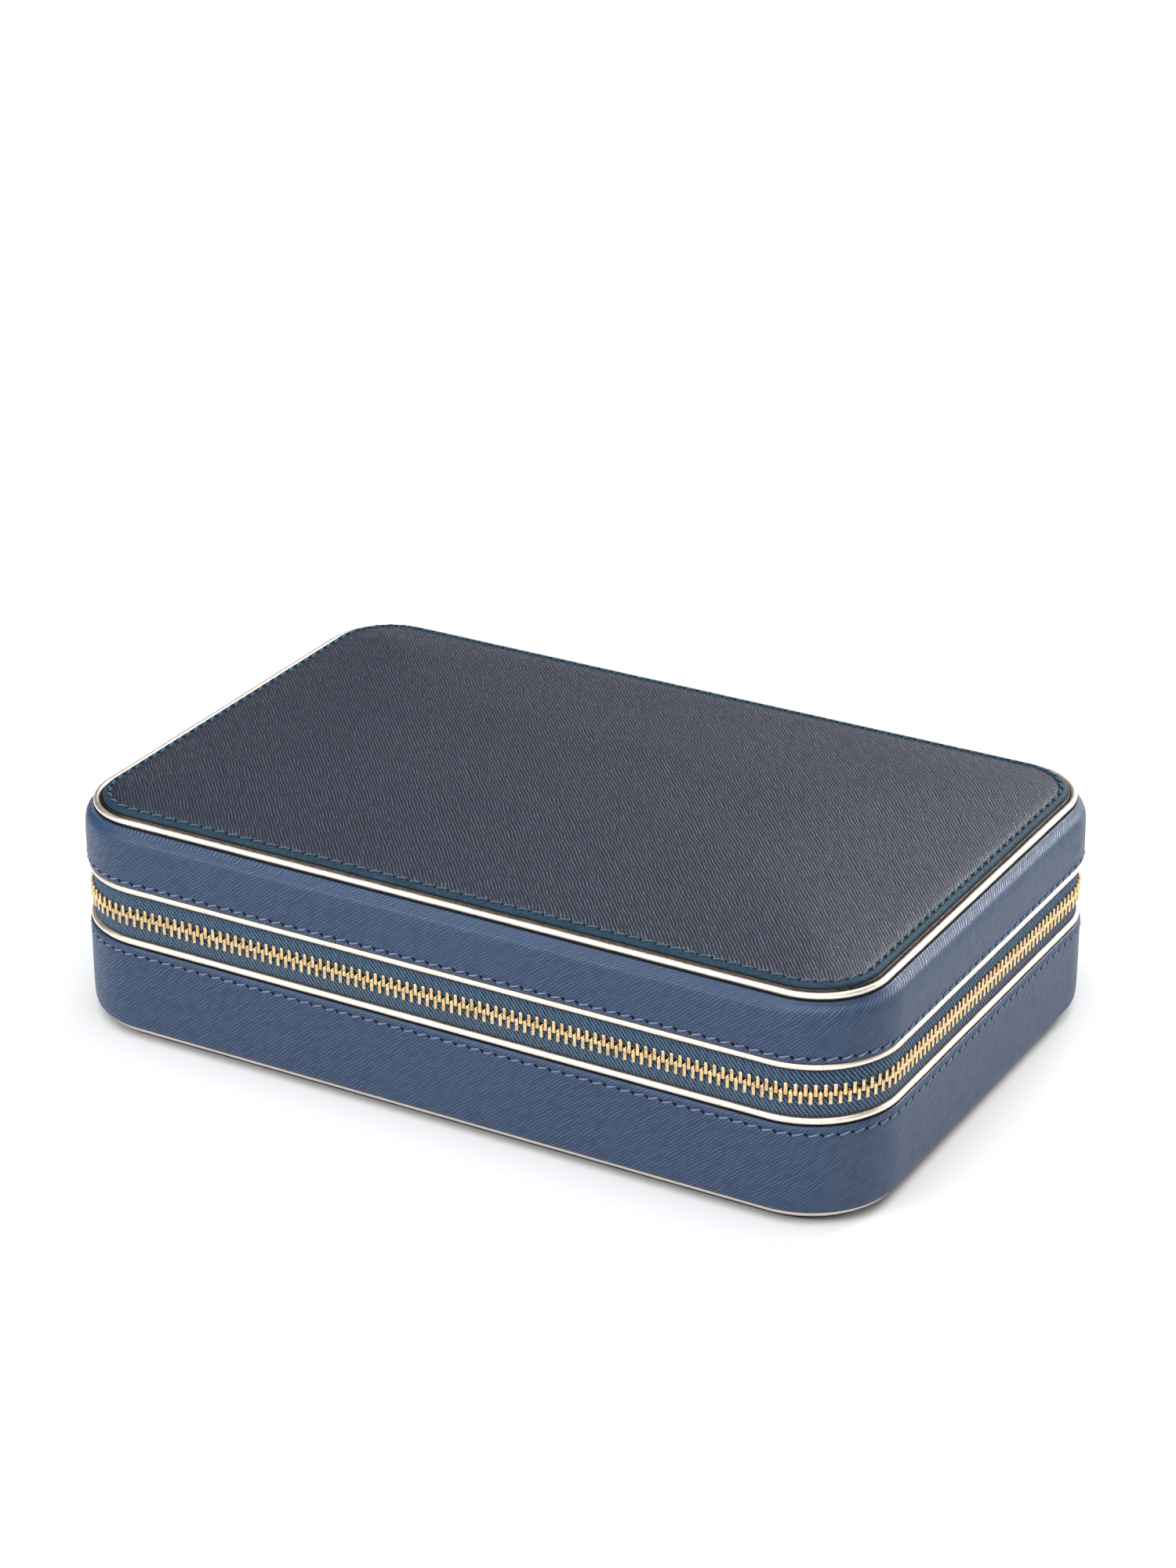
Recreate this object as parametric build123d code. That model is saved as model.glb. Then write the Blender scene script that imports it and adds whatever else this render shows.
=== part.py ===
from build123d import *
import os
from math import ceil, cos, floor, pi, radians, sin

# Zip-round leather jewellery case, in millimetres.
# Origin at the middle of the underside, +Z up, the front long side towards -Y, the hinge at +Y.
# Most pieces run round the case, so they are described by their offset from the rim line:
# the rounded rectangle that the centres of the two rim pipings follow. Outward is positive.

# Case
CASE_LENGTH = 247.5
CASE_DEPTH = 162.0
CORNER_R = 25.0
HALF_LENGTH = CASE_LENGTH / 2
HALF_DEPTH = CASE_DEPTH / 2
BASE_RIM_Z = 30.7
LID_RIM_Z = 46.5
ZIP_Z = (BASE_RIM_Z + LID_RIM_Z) / 2

# Pipings: offset, height, cord radius
RIM_PIPING_R = 0.95
BOTTOM_PIPING_OFFSET = -1.6
BOTTOM_PIPING_Z = 2.5
BOTTOM_PIPING_R = 0.8
TOP_PIPING_OFFSET = -3.1
TOP_PIPING_Z = 65.5
TOP_PIPING_R = 0.9
TOP_CORNER_R = 19.5

# Padded top
TOP_BOARD_Z = 64.8
TOP_PANEL_OFFSET = -4.3
TOP_PANEL_EDGE_Z = 66.8
TOP_PANEL_RIM_Z = 67.9
TOP_PANEL_RIM_WIDTH = 2.6
TOP_CROWN_Z = 70.6
FOAM_OFFSET = -10.0
FOAM_Z = 68.2

# Base floor and the inner collar that the closed lid rests on
BASE_PANEL_OFFSET = -2.9
BASE_PANEL_THICK = 1.6
PLINTH_OFFSET = -4.15
FLOOR_BOARD_Z = 2.9
LINING_FLOOR_Z = 6.2
PAD_Z = 8.6
COLLAR_OUTER = -3.1
COLLAR_INNER = -4.7
COLLAR_Z = 45.9
LID_LINING_Z = 46.2

# Compartments
DIVIDER_THICK = 4.0
DIVIDER_Z = 36.0
DIVIDER_ROUND = 1.6
LONG_DIVIDER_Y = -12.0
REAR_DIVIDER_X = 48.0
FRONT_DIVIDER_X = 40.0
FIT_GAP = 0.25
RING_ROLLS = 6
RING_ROLL_WIDTH = 14.8
RING_ROLL_Z = 31.0
RING_ROLL_ROUND = 6.4

# Mirror in the lid
MIRROR_LENGTH = 168.0
MIRROR_DEPTH = 98.0
MIRROR_CORNER = 8.0
MIRROR_Z = 58.2
MIRROR_FRAME_WIDTH = 11.0
MIRROR_FRAME_Z = 57.4
LID_CEILING_Z = 60.2

# Zip: a metal chain of 2.5 mm pitch on two woven tapes
TAPE_OUTER = -0.15
TAPE_THICK = 0.6
TAPE_EDGE = 1.0
CHAIN_OFFSET = TAPE_OUTER - TAPE_THICK / 2
CHAIN_HALF_WIDTH = 3.05
TOOTH_PITCH = 2.5
TOOTH_WIDTH = 1.0
TOOTH_REACH = 0.85
TOOTH_HALF_DEPTH = 1.2
JAW_GAP = 0.05
CHAIN_END_ANGLE = 75.0
TAPE_END_X = 97.0
STOP_WIDTH = 1.8
STOP_HEIGHT = 3.4

# Spine: the leather hinge across the rear
SPINE_HALF_LENGTH = 96.5
SPINE_INNER = -0.75
SPINE_OUTER = 0.45
HINGE_OFFSET = (SPINE_INNER + SPINE_OUTER) / 2
SPINE_GAP_UP = 0.75
SPINE_GAP_DOWN = 1.0

# Slider, parked at the rear end of the left side, and its pull
SLIDER_Y = 47.0
SLIDER_HALF = 4.6
SLIDER_TAIL = 4.2
SLIDER_NOSE = 5.0
OUTER_PLATE = (1.1, 2.1)
INNER_PLATE = (-2.75, -1.95)
FLANGE_IN = 3.4
FLANGE_REACH = 0.7
CROWN_OFFSET = 4.9
CROWN_BAR_R = 0.6
CROWN_HALF = 3.0
LINK_WIRE_R = 0.5
LINK_BEND_R = 1.5
LINK_TOP = -0.2
LINK_LENGTH = 6.0
TAB_THICK = 1.0
TAB_HOLE_R = 1.1
TAB_HOLE_DROP = 0.4
TAB_TOP_R = 2.6
TAB_LENGTH = 22.0
TAB_WIDTH = 7.4


def outline(offset, z, corner=None):
    """Rounded rectangle at an offset from the rim line. Its corners are concentric unless stated."""
    radius = CORNER_R + offset if corner is None else corner
    shape = RectangleRounded(CASE_LENGTH + 2 * offset, CASE_DEPTH + 2 * offset, radius)
    return Pos(0, 0, z) * shape


def slab(offset, low, high, corner=None):
    return extrude(outline(offset, low, corner), high - low)


def stack(*levels):
    """Solid through outlines given as (offset, z) or (offset, z, corner radius)."""
    return loft([outline(*level) for level in levels], ruled=True)


def rim_path(offset, z, corner):
    """Closed wire round the case from the middle of the front."""
    a, b, r = HALF_LENGTH + offset, HALF_DEPTH + offset, corner
    return Wire([
        Line((0, -b, z), (a - r, -b, z)).edge(),
        JernArc((a - r, -b, z), (1, 0, 0), r, 90).edge(),
        Line((a, r - b, z), (a, b - r, z)).edge(),
        JernArc((a, b - r, z), (0, 1, 0), r, 90).edge(),
        Line((a - r, b, z), (r - a, b, z)).edge(),
        JernArc((r - a, b, z), (-1, 0, 0), r, 90).edge(),
        Line((-a, b - r, z), (-a, r - b, z)).edge(),
        JernArc((-a, r - b, z), (0, -1, 0), r, 90).edge(),
        Line((r - a, -b, z), (0, -b, z)).edge(),
    ])


def zip_path():
    """Open wire along the rim line, from the rear left round the front to the rear right."""
    a, b, r, x = HALF_LENGTH, HALF_DEPTH, CORNER_R, TAPE_END_X
    return Wire([
        Line((-x, b), (r - a, b)).edge(),
        JernArc((r - a, b), (-1, 0), r, 90).edge(),
        Line((-a, b - r), (-a, r - b)).edge(),
        JernArc((-a, r - b), (0, -1), r, 90).edge(),
        Line((r - a, -b), (a - r, -b)).edge(),
        JernArc((a - r, -b), (1, 0), r, 90).edge(),
        Line((a, r - b), (a, b - r)).edge(),
        JernArc((a, b - r), (0, 1), r, 90).edge(),
        Line((a - r, b), (x, b)).edge(),
    ])


def piping(offset, z, radius, corner):
    start = Plane((0, -HALF_DEPTH - offset, z), x_dir=(0, -1, 0), z_dir=(-1, 0, 0))
    return sweep(start * Circle(radius), path=rim_path(offset, z, corner))


# The two chain rows use one distance along the chain, from the middle of the front,
# positive round the right side and negative round the left.
FRONT_RUN = HALF_LENGTH - CORNER_R
SIDE_RUN = 2 * (HALF_DEPTH - CORNER_R)
CHAIN_R = CORNER_R + CHAIN_OFFSET
CORNER_RUN = CHAIN_R * pi / 2
CHAIN_RIGHT = FRONT_RUN + CORNER_RUN + SIDE_RUN + CHAIN_R * radians(CHAIN_END_ANGLE)
CHAIN_LEFT = -(FRONT_RUN + CORNER_RUN + SIDE_RUN / 2 + SLIDER_Y)


def on_chain(distance):
    """Place on the chain: local x points outward, y up, z against the distance."""
    side = 1 if distance >= 0 else -1
    run = abs(distance)
    x, y, turn = run, -HALF_DEPTH + CORNER_R, 0.0
    if run > FRONT_RUN:
        x, turn = FRONT_RUN, (run - FRONT_RUN) / CHAIN_R
    if run > FRONT_RUN + CORNER_RUN:
        turn = pi / 2
        y += min(run - FRONT_RUN - CORNER_RUN, SIDE_RUN)
    if run > FRONT_RUN + CORNER_RUN + SIDE_RUN:
        turn += (run - FRONT_RUN - CORNER_RUN - SIDE_RUN) / CHAIN_R
    out = (side * sin(turn), -cos(turn), 0)
    origin = (side * x + CHAIN_R * out[0], y + CHAIN_R * out[1], ZIP_Z)
    return Plane(origin, x_dir=out, z_dir=(out[1], -out[0], 0)).location


def make_base_panel():
    """Leather-covered board under the base, with a raised middle that backs the floor board."""
    plinth = slab(PLINTH_OFFSET, BASE_PANEL_THICK, FLOOR_BOARD_Z - 0.05)
    return slab(BASE_PANEL_OFFSET, 0, BASE_PANEL_THICK) + plinth


def make_base_band():
    outer = stack((-0.65, 3.1), (0.1, 3.5), (0.8, 4.4), (1.2, 6.0), (1.2, 28.5), (0.5, 29.65))
    inner = stack((-0.95, 3.05), (-0.95, 3.9), (-0.3, 5.2), (0.2, 6.9), (0.2, 28.4), (-0.5, 29.7))
    return outer - inner


def make_base_board():
    """Greyboard tub that keeps the base stiff."""
    outer = stack((-3.0, FLOOR_BOARD_Z), (-1.4, 3.7), (-0.4, 5.3), (0.1, 7.0), (0.1, 28.4),
                  (-0.6, 29.65))
    inner = stack((-3.9, 4.9), (-1.9, 6.9), (-1.9, 29.7))
    return outer - inner


def make_base_lining():
    outer = stack((-4.0, 5.0), (-2.0, 7.0), (-2.0, 29.65))
    inner = stack((-5.1, LINING_FLOOR_Z - 0.1), (-3.0, 8.1), (-3.0, 29.7))
    return outer - inner


def make_floor_pad():
    return stack((-5.3, LINING_FLOOR_Z), (-3.2, 8.2), (-3.2, PAD_Z))


def make_collar():
    """Suede-covered board wall inside the base. It backs the zip and carries the closed lid."""
    wall = slab(COLLAR_OUTER, PAD_Z, COLLAR_Z)
    return wall - slab(COLLAR_INNER, PAD_Z, COLLAR_Z)


def padded_wall(x0, x1, y0, y1):
    """Divider standing on the floor pad, with a rounded top."""
    box = Pos((x0 + x1) / 2, (y0 + y1) / 2, (PAD_Z + DIVIDER_Z) / 2) * Box(
        x1 - x0, y1 - y0, DIVIDER_Z - PAD_Z)
    long_edges = Axis.X if x1 - x0 > y1 - y0 else Axis.Y
    return fillet(box.faces().sort_by(Axis.Z)[-1].edges().filter_by(long_edges), DIVIDER_ROUND)


def make_dividers():
    half = DIVIDER_THICK / 2
    room_x = HALF_LENGTH + COLLAR_INNER - FIT_GAP
    room_y = HALF_DEPTH + COLLAR_INNER - FIT_GAP
    low, high = LONG_DIVIDER_Y - half, LONG_DIVIDER_Y + half
    made = {"divider_long": padded_wall(-room_x, room_x, low, high)}
    for side, name in ((-1, "left"), (1, "right")):
        x = side * REAR_DIVIDER_X
        made["divider_rear_" + name] = padded_wall(x - half, x + half, high + 0.05, room_y)
        x = side * FRONT_DIVIDER_X
        made["divider_front_" + name] = padded_wall(x - half, x + half, -room_y, low - 0.05)
    return made


def make_ring_rolls():
    """Foam rolls side by side between the rear dividers. Rings are pushed in between them."""
    y0 = LONG_DIVIDER_Y + DIVIDER_THICK / 2 + FIT_GAP
    y1 = HALF_DEPTH + COLLAR_INNER - FIT_GAP
    room = 2 * REAR_DIVIDER_X - DIVIDER_THICK
    pitch = room / RING_ROLLS
    made = {}
    for i in range(RING_ROLLS):
        x = (i + 0.5) * pitch - room / 2
        roll = Pos(x, (y0 + y1) / 2, (PAD_Z + RING_ROLL_Z) / 2) * Box(
            RING_ROLL_WIDTH, y1 - y0, RING_ROLL_Z - PAD_Z)
        tops = roll.faces().sort_by(Axis.Z)[-1].edges().filter_by(Axis.Y)
        made[f"ring_roll_{i + 1}"] = fillet(tops, RING_ROLL_ROUND)
    return made


def make_lid_band():
    outer = stack((0.4, 47.55), (1.3, 49.2), (1.3, 59.0), (1.0, 60.8), (-0.1, 62.55), (-2.2, 64.4, 20.4))
    inner = stack((-0.6, 47.5), (0.3, 49.2), (0.3, 59.4), (-0.1, 60.7), (-3.2, 64.0, 19.4),
                  (-3.2, 64.6, 19.4))
    return outer - inner


def make_lid_board():
    """Greyboard tub that keeps the lid stiff."""
    outer = stack((-0.7, 47.55), (0.2, 49.3), (0.2, 59.3), (-0.2, 60.55), (-3.35, 63.9, 19.2),
                  (-4.2, TOP_BOARD_Z, 18.3))
    inner = stack((-1.8, 47.5), (-1.8, 60.0), (-4.6, 62.8, 18.5))
    return outer - inner


def make_lid_lining():
    """Padded suede walls and ceiling of the lid. Its lower edge stands over the collar."""
    outer = stack((-1.9, LID_LINING_Z), (-1.9, 59.9), (-4.7, 62.7, 18.4))
    inner = stack((COLLAR_INNER, LID_LINING_Z - 0.1), (COLLAR_INNER, 58.6), (-6.2, LID_CEILING_Z))
    return outer - inner


def make_foam():
    foam = slab(FOAM_OFFSET, TOP_BOARD_Z + 0.05, FOAM_Z, TOP_CORNER_R - 6)
    return fillet(foam.faces().sort_by(Axis.Z)[-1].edges(), 2.0)


def make_top_panel(foam):
    """Padded leather top: a stitched rim that rises inward, then the crown over the foam."""
    corner = TOP_CORNER_R - 1.2
    inset = TOP_PANEL_OFFSET - TOP_PANEL_RIM_WIDTH
    padded = stack(
        (TOP_PANEL_OFFSET, TOP_BOARD_Z + 0.05, corner),
        (TOP_PANEL_OFFSET, TOP_PANEL_EDGE_Z, corner),
        (inset, TOP_PANEL_RIM_Z, corner - TOP_PANEL_RIM_WIDTH),
        (inset - 5.0, TOP_PANEL_RIM_Z + 0.9, corner - TOP_PANEL_RIM_WIDTH - 5.0),
        (inset - 18.0, TOP_PANEL_RIM_Z + 2.2, 5.0),
        (inset - 36.0, TOP_CROWN_Z, 3.0),
    )
    return padded - foam


def make_mirror():
    plate = RectangleRounded(MIRROR_LENGTH, MIRROR_DEPTH, MIRROR_CORNER)
    return extrude(Pos(0, 0, MIRROR_Z) * plate, LID_CEILING_Z - 0.05 - MIRROR_Z)


def make_mirror_frame():
    """Padded suede surround that holds the mirror to the lid's ceiling."""
    gap, width = 0.3, MIRROR_FRAME_WIDTH
    hole = RectangleRounded(MIRROR_LENGTH + 2 * gap, MIRROR_DEPTH + 2 * gap, MIRROR_CORNER + gap)
    edge = RectangleRounded(
        MIRROR_LENGTH + 2 * width, MIRROR_DEPTH + 2 * width, MIRROR_CORNER + width)
    return extrude(Pos(0, 0, MIRROR_FRAME_Z) * (edge - hole), LID_CEILING_Z - 0.05 - MIRROR_FRAME_Z)


def make_tape(up):
    """Half of the zip tape, with a stepped edge that is sewn in behind the rim piping.
    up is 1 for the half on the base and -1 for the half on the lid."""
    inner = TAPE_OUTER - TAPE_THICK
    rim = (BASE_RIM_Z - ZIP_Z) * up
    section = [
        (TAPE_OUTER, -TAPE_EDGE * up),
        (TAPE_OUTER, rim + 1.2 * up),
        (-1.0, rim + 0.5 * up),
        (-1.0, rim - 0.9 * up),
        (-1.8, rim - 0.9 * up),
        (-1.8, rim + 0.9 * up),
        (inner, rim + 1.7 * up),
        (inner, -TAPE_EDGE * up),
    ]
    start = Plane((-TAPE_END_X, HALF_DEPTH, ZIP_Z), x_dir=(0, 1, 0), z_dir=(1, 0, 0))
    return sweep(start * make_face(Polyline(section, close=True)), path=zip_path())


def make_tooth(up):
    """Metal tooth: jaws that straddle the tape's edge and a head that reaches past the centre."""
    grip = TAPE_THICK / 2 + JAW_GAP
    root, head = -CHAIN_HALF_WIDTH * up, TOOTH_REACH * up
    slot = (-TAPE_EDGE + JAW_GAP) * up
    section = [
        (-TOOTH_HALF_DEPTH, root),
        (-TOOTH_HALF_DEPTH, head),
        (TOOTH_HALF_DEPTH, head),
        (TOOTH_HALF_DEPTH, root),
        (grip, root),
        (grip, slot),
        (-grip, slot),
        (-grip, root),
    ]
    tooth = extrude(make_face(Polyline(section, close=True)), TOOTH_WIDTH / 2, both=True)
    return tooth


def make_teeth(up):
    """One row of the chain. The two rows stand half a pitch apart."""
    shift = 0.0 if up > 0 else 0.5
    first = ceil(CHAIN_LEFT / TOOTH_PITCH - shift)
    last = floor(CHAIN_RIGHT / TOOTH_PITCH - shift)
    tooth = make_tooth(up)
    row = [on_chain((i + shift) * TOOTH_PITCH) * tooth for i in range(first, last + 1)]
    return Compound(children=[t.solid() for t in row])


def make_stops(up):
    """Metal clips on the tape past both ends of the chain."""
    grip = TAPE_THICK / 2 + JAW_GAP
    low, high = -(TAPE_EDGE + STOP_HEIGHT) * up, -(TAPE_EDGE - 0.3) * up
    slot = (-TAPE_EDGE + JAW_GAP) * up
    section = [
        (-TOOTH_HALF_DEPTH, low),
        (-TOOTH_HALF_DEPTH, high),
        (TOOTH_HALF_DEPTH, high),
        (TOOTH_HALF_DEPTH, low),
        (grip, low),
        (grip, slot),
        (-grip, slot),
        (-grip, low),
    ]
    stop = extrude(make_face(Polyline(section, close=True)), STOP_WIDTH / 2, both=True)
    past_slider = CHAIN_LEFT - SLIDER_HALF - STOP_WIDTH
    past_last_tooth = CHAIN_RIGHT + STOP_WIDTH / 2 + TOOTH_PITCH / 2
    return Compound(children=[(on_chain(at) * stop).solid() for at in (past_slider, past_last_tooth)])


def make_spine(up):
    """Half of the leather hinge strip. The gap lets the halves turn without touching."""
    rim = abs(BASE_RIM_Z - ZIP_Z) - RIM_PIPING_R - 0.1
    low, high = (-rim, -SPINE_GAP_DOWN) if up > 0 else (SPINE_GAP_UP, rim)
    strip = Box(2 * SPINE_HALF_LENGTH, SPINE_OUTER - SPINE_INNER, high - low)
    return Pos(0, HALF_DEPTH + HINGE_OFFSET, ZIP_Z + (low + high) / 2) * strip


# The slider is drawn on the left side: x is minus the offset from the rim line.
def slider_plate(inner, outer):
    points = [
        (-SLIDER_HALF, -SLIDER_TAIL),
        (0, -SLIDER_TAIL),
        (SLIDER_HALF, -SLIDER_NOSE),
        (SLIDER_HALF, SLIDER_NOSE),
        (0, SLIDER_TAIL),
        (-SLIDER_HALF, SLIDER_TAIL),
    ]
    face = make_face(Polyline(points, close=True))
    place = Plane((-HALF_LENGTH - outer, SLIDER_Y, ZIP_Z), x_dir=(0, 1, 0), z_dir=(1, 0, 0))
    return extrude(place * fillet(face.vertices(), 0.8), outer - inner)


def slider_box(t0, t1, n0, n1, z0, z1):
    """Box by distances along the chain, out of the case and above the chain's middle."""
    place = Pos(-HALF_LENGTH - (n0 + n1) / 2, SLIDER_Y + (t0 + t1) / 2, ZIP_Z + (z0 + z1) / 2)
    return place * Box(n1 - n0, t1 - t0, z1 - z0)


def make_slider():
    """Two flanged plates joined by the wedge that parts the teeth, and the crown for the pull."""
    body = slider_plate(*OUTER_PLATE) + slider_plate(*INNER_PLATE)
    for z0, z1 in ((FLANGE_IN, SLIDER_TAIL), (-SLIDER_TAIL, -FLANGE_IN)):
        body += slider_box(-SLIDER_HALF + 0.8, 0, OUTER_PLATE[0] - FLANGE_REACH, OUTER_PLATE[0], z0, z1)
        body += slider_box(-SLIDER_HALF + 0.8, 0, INNER_PLATE[1], INNER_PLATE[1] + FLANGE_REACH, z0, z1)
    body += slider_box(1.2, SLIDER_HALF - 0.6, INNER_PLATE[1], OUTER_PLATE[0], -0.9, 0.9)
    for t in (-CROWN_HALF, CROWN_HALF):
        body += slider_box(t - 0.6, t + 0.6, OUTER_PLATE[1], CROWN_OFFSET + CROWN_BAR_R, -0.6, 0.6)
    bar = Pos(-HALF_LENGTH - CROWN_OFFSET, SLIDER_Y, ZIP_Z) * Rot(90, 0, 0) * Cylinder(
        CROWN_BAR_R, 2 * CROWN_HALF)
    return body + bar


def make_link():
    """Oblong wire link hanging on the crown's bar, in the plane across the chain."""
    x, top, low = -HALF_LENGTH - CROWN_OFFSET, ZIP_Z + LINK_TOP, ZIP_Z + LINK_TOP - LINK_LENGTH
    flat = Plane((x, SLIDER_Y, 0), x_dir=(1, 0, 0), z_dir=(0, -1, 0))
    r = LINK_BEND_R
    path = Wire([
        flat * Line((r, (top + low) / 2), (r, top)).edge(),
        flat * ThreePointArc((r, top), (0, top + r), (-r, top)).edge(),
        flat * Line((-r, top), (-r, low)).edge(),
        flat * ThreePointArc((-r, low), (0, low - r), (r, low)).edge(),
        flat * Line((r, low), (r, (top + low) / 2)).edge(),
    ])
    start = Plane((x + r, SLIDER_Y, (top + low) / 2), x_dir=(1, 0, 0), z_dir=(0, 0, 1))
    return sweep(start * Circle(LINK_WIRE_R), path=path)


TAB_PIVOT_Z = ZIP_Z + LINK_TOP - LINK_LENGTH - LINK_BEND_R


def make_tab():
    """Flat metal pull, hanging on the link by the hole near its top."""
    hole_z = -TAB_HOLE_DROP
    face = make_face(Polyline([
        (-TAB_TOP_R, hole_z),
        (TAB_TOP_R, hole_z),
        (TAB_WIDTH / 2, -TAB_LENGTH + 1),
        (TAB_WIDTH / 2 - 1, -TAB_LENGTH),
        (1 - TAB_WIDTH / 2, -TAB_LENGTH),
        (-TAB_WIDTH / 2, -TAB_LENGTH + 1),
    ], close=True))
    face = face + Pos(0, hole_z) * Circle(TAB_TOP_R) - Pos(0, hole_z) * Circle(TAB_HOLE_R)
    x = -HALF_LENGTH - CROWN_OFFSET - TAB_THICK / 2
    place = Plane((x, SLIDER_Y, TAB_PIVOT_Z), x_dir=(0, 1, 0), z_dir=(1, 0, 0))
    return extrude(place * face, TAB_THICK)


def make_parts():
    foam = make_foam()
    parts = {
        "base_panel": make_base_panel(),
        "base_bottom_piping": piping(
            BOTTOM_PIPING_OFFSET, BOTTOM_PIPING_Z, BOTTOM_PIPING_R, CORNER_R + BOTTOM_PIPING_OFFSET),
        "base_band": make_base_band(),
        "base_board": make_base_board(),
        "base_lining": make_base_lining(),
        "base_floor_pad": make_floor_pad(),
        "base_collar": make_collar(),
        "base_rim_piping": piping(0, BASE_RIM_Z, RIM_PIPING_R, CORNER_R),
        "lid_rim_piping": piping(0, LID_RIM_Z, RIM_PIPING_R, CORNER_R),
        "lid_top_piping": piping(TOP_PIPING_OFFSET, TOP_PIPING_Z, TOP_PIPING_R, TOP_CORNER_R),
        "lid_band": make_lid_band(),
        "lid_board": make_lid_board(),
        "lid_lining": make_lid_lining(),
        "lid_foam": foam,
        "lid_top_panel": make_top_panel(foam),
        "lid_mirror": make_mirror(),
        "lid_mirror_frame": make_mirror_frame(),
        "zip_slider": make_slider(),
        "zip_pull_link": make_link(),
        "zip_pull_tab": make_tab(),
    }
    for up, name in ((1, "lower"), (-1, "upper")):
        parts["zip_tape_" + name] = make_tape(up)
        parts["zip_teeth_" + name] = make_teeth(up)
        parts["zip_stops_" + name] = make_stops(up)
        parts["spine_" + name] = make_spine(up)
    return parts | make_dividers() | make_ring_rolls()


os.makedirs("parts", exist_ok=True)
for node, shape in make_parts().items():
    export_step(shape, f"parts/{node}.step")
    print(f"{node:20s} {shape.volume:12.1f} mm3")
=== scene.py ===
from math import cos, pi, radians, sin
from types import SimpleNamespace

import bmesh
import bpy
import numpy as np
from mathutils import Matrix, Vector


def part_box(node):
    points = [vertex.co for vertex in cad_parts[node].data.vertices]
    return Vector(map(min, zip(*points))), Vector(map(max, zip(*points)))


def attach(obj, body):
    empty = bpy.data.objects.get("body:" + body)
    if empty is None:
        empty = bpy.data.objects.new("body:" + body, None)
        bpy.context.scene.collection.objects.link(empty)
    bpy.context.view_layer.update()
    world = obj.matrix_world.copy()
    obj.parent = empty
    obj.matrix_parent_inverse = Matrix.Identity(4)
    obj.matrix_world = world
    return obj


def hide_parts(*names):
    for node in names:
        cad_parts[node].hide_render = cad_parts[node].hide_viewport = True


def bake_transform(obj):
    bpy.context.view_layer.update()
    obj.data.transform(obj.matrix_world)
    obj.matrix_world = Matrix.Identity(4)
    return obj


# Looks of the zip-round leather jewellery case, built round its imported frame.
# Sizes are in millimetres, and add_mesh() turns them into the scene's metres.
# As in the CAD, most pieces run round the case. They are given by an offset from the rim line, which is
# the rounded rectangle that the centres of the rim pipings follow, and by a height. Outward is positive.

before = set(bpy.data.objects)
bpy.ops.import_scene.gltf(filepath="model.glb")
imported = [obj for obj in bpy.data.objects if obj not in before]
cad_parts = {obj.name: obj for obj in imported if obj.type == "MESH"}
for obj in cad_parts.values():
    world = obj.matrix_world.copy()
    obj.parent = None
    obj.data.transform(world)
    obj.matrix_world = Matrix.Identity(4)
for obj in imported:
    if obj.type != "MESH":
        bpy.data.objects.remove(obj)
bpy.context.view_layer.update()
MM = 0.001


def box(node):
    """Lowest and highest corner of a CAD node, in millimetres."""
    low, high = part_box(node)
    return low / MM, high / MM


def middle(node):
    low, high = box(node)
    return (low + high) / 2


# The case, read from the frame
RIM_PIPING_R = (box("base_rim_piping")[1].z - box("base_rim_piping")[0].z) / 2
HALF = Vector(box("base_rim_piping")[1].xy) - Vector((RIM_PIPING_R, RIM_PIPING_R))
BASE_RIM_Z = middle("base_rim_piping").z
LID_RIM_Z = middle("lid_rim_piping").z
ZIP_Z = (BASE_RIM_Z + LID_RIM_Z) / 2
TOP_PIPING_Z = middle("lid_top_piping").z
SLIDER_Y = middle("zip_slider").y

# Corner radii of the rim line, and of the rim line as the top's outlines have it
CORNER = 25.0
TOP_CORNER = 22.6

# Stitching
STITCH_PITCH = 4.15
STITCH_SHARES = (0.0, 0.12, 0.5, 0.88)
THREAD_R = 0.27
BASE_STITCH_Z = BASE_RIM_Z - 3.6
LID_STITCH_Z = LID_RIM_Z + 2.8
TOP_STITCH_OFFSET = -6.8

# Zip
TOOTH_PITCH = 2.5
CHAIN_OFFSET = -0.45
CHAIN_END_ANGLE = 75.0
TAPE_END_X = 97.0
STOP_WIDTH = 1.8

# Padded top
CROWN_OFFSET = -7.1
CROWN_REACH = 38.0
PANEL_EDGE_Z = TOP_PIPING_Z + 1.3
PANEL_RIM_Z = TOP_PIPING_Z + 2.45


# ---------------------------------------------------------------- meshes

def add_mesh(name, points, faces, material, uv=None, smooth=True):
    """Object from points in millimetres. uv has one pair for each face corner, in millimetres too."""
    mesh = bpy.data.meshes.new(name)
    mesh.from_pydata((np.asarray(points, float) * MM).tolist(), [], [list(face) for face in faces])
    if uv is not None:
        layer = mesh.uv_layers.new(name="grain")
        layer.data.foreach_set("uv", np.asarray(uv, np.float32).ravel())
    mesh.polygons.foreach_set("use_smooth", [smooth] * len(mesh.polygons))
    mesh.materials.append(material)
    mesh.update()
    piece = bpy.data.objects.new(name, mesh)
    bpy.context.scene.collection.objects.link(piece)
    return piece


def straights(corner, half):
    return half.x - corner, half.y - corner


def perimeter(offset, corner=CORNER, half=HALF):
    x, y = straights(corner, half)
    return 4 * x + 4 * y + 2 * pi * (corner + offset)


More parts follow.
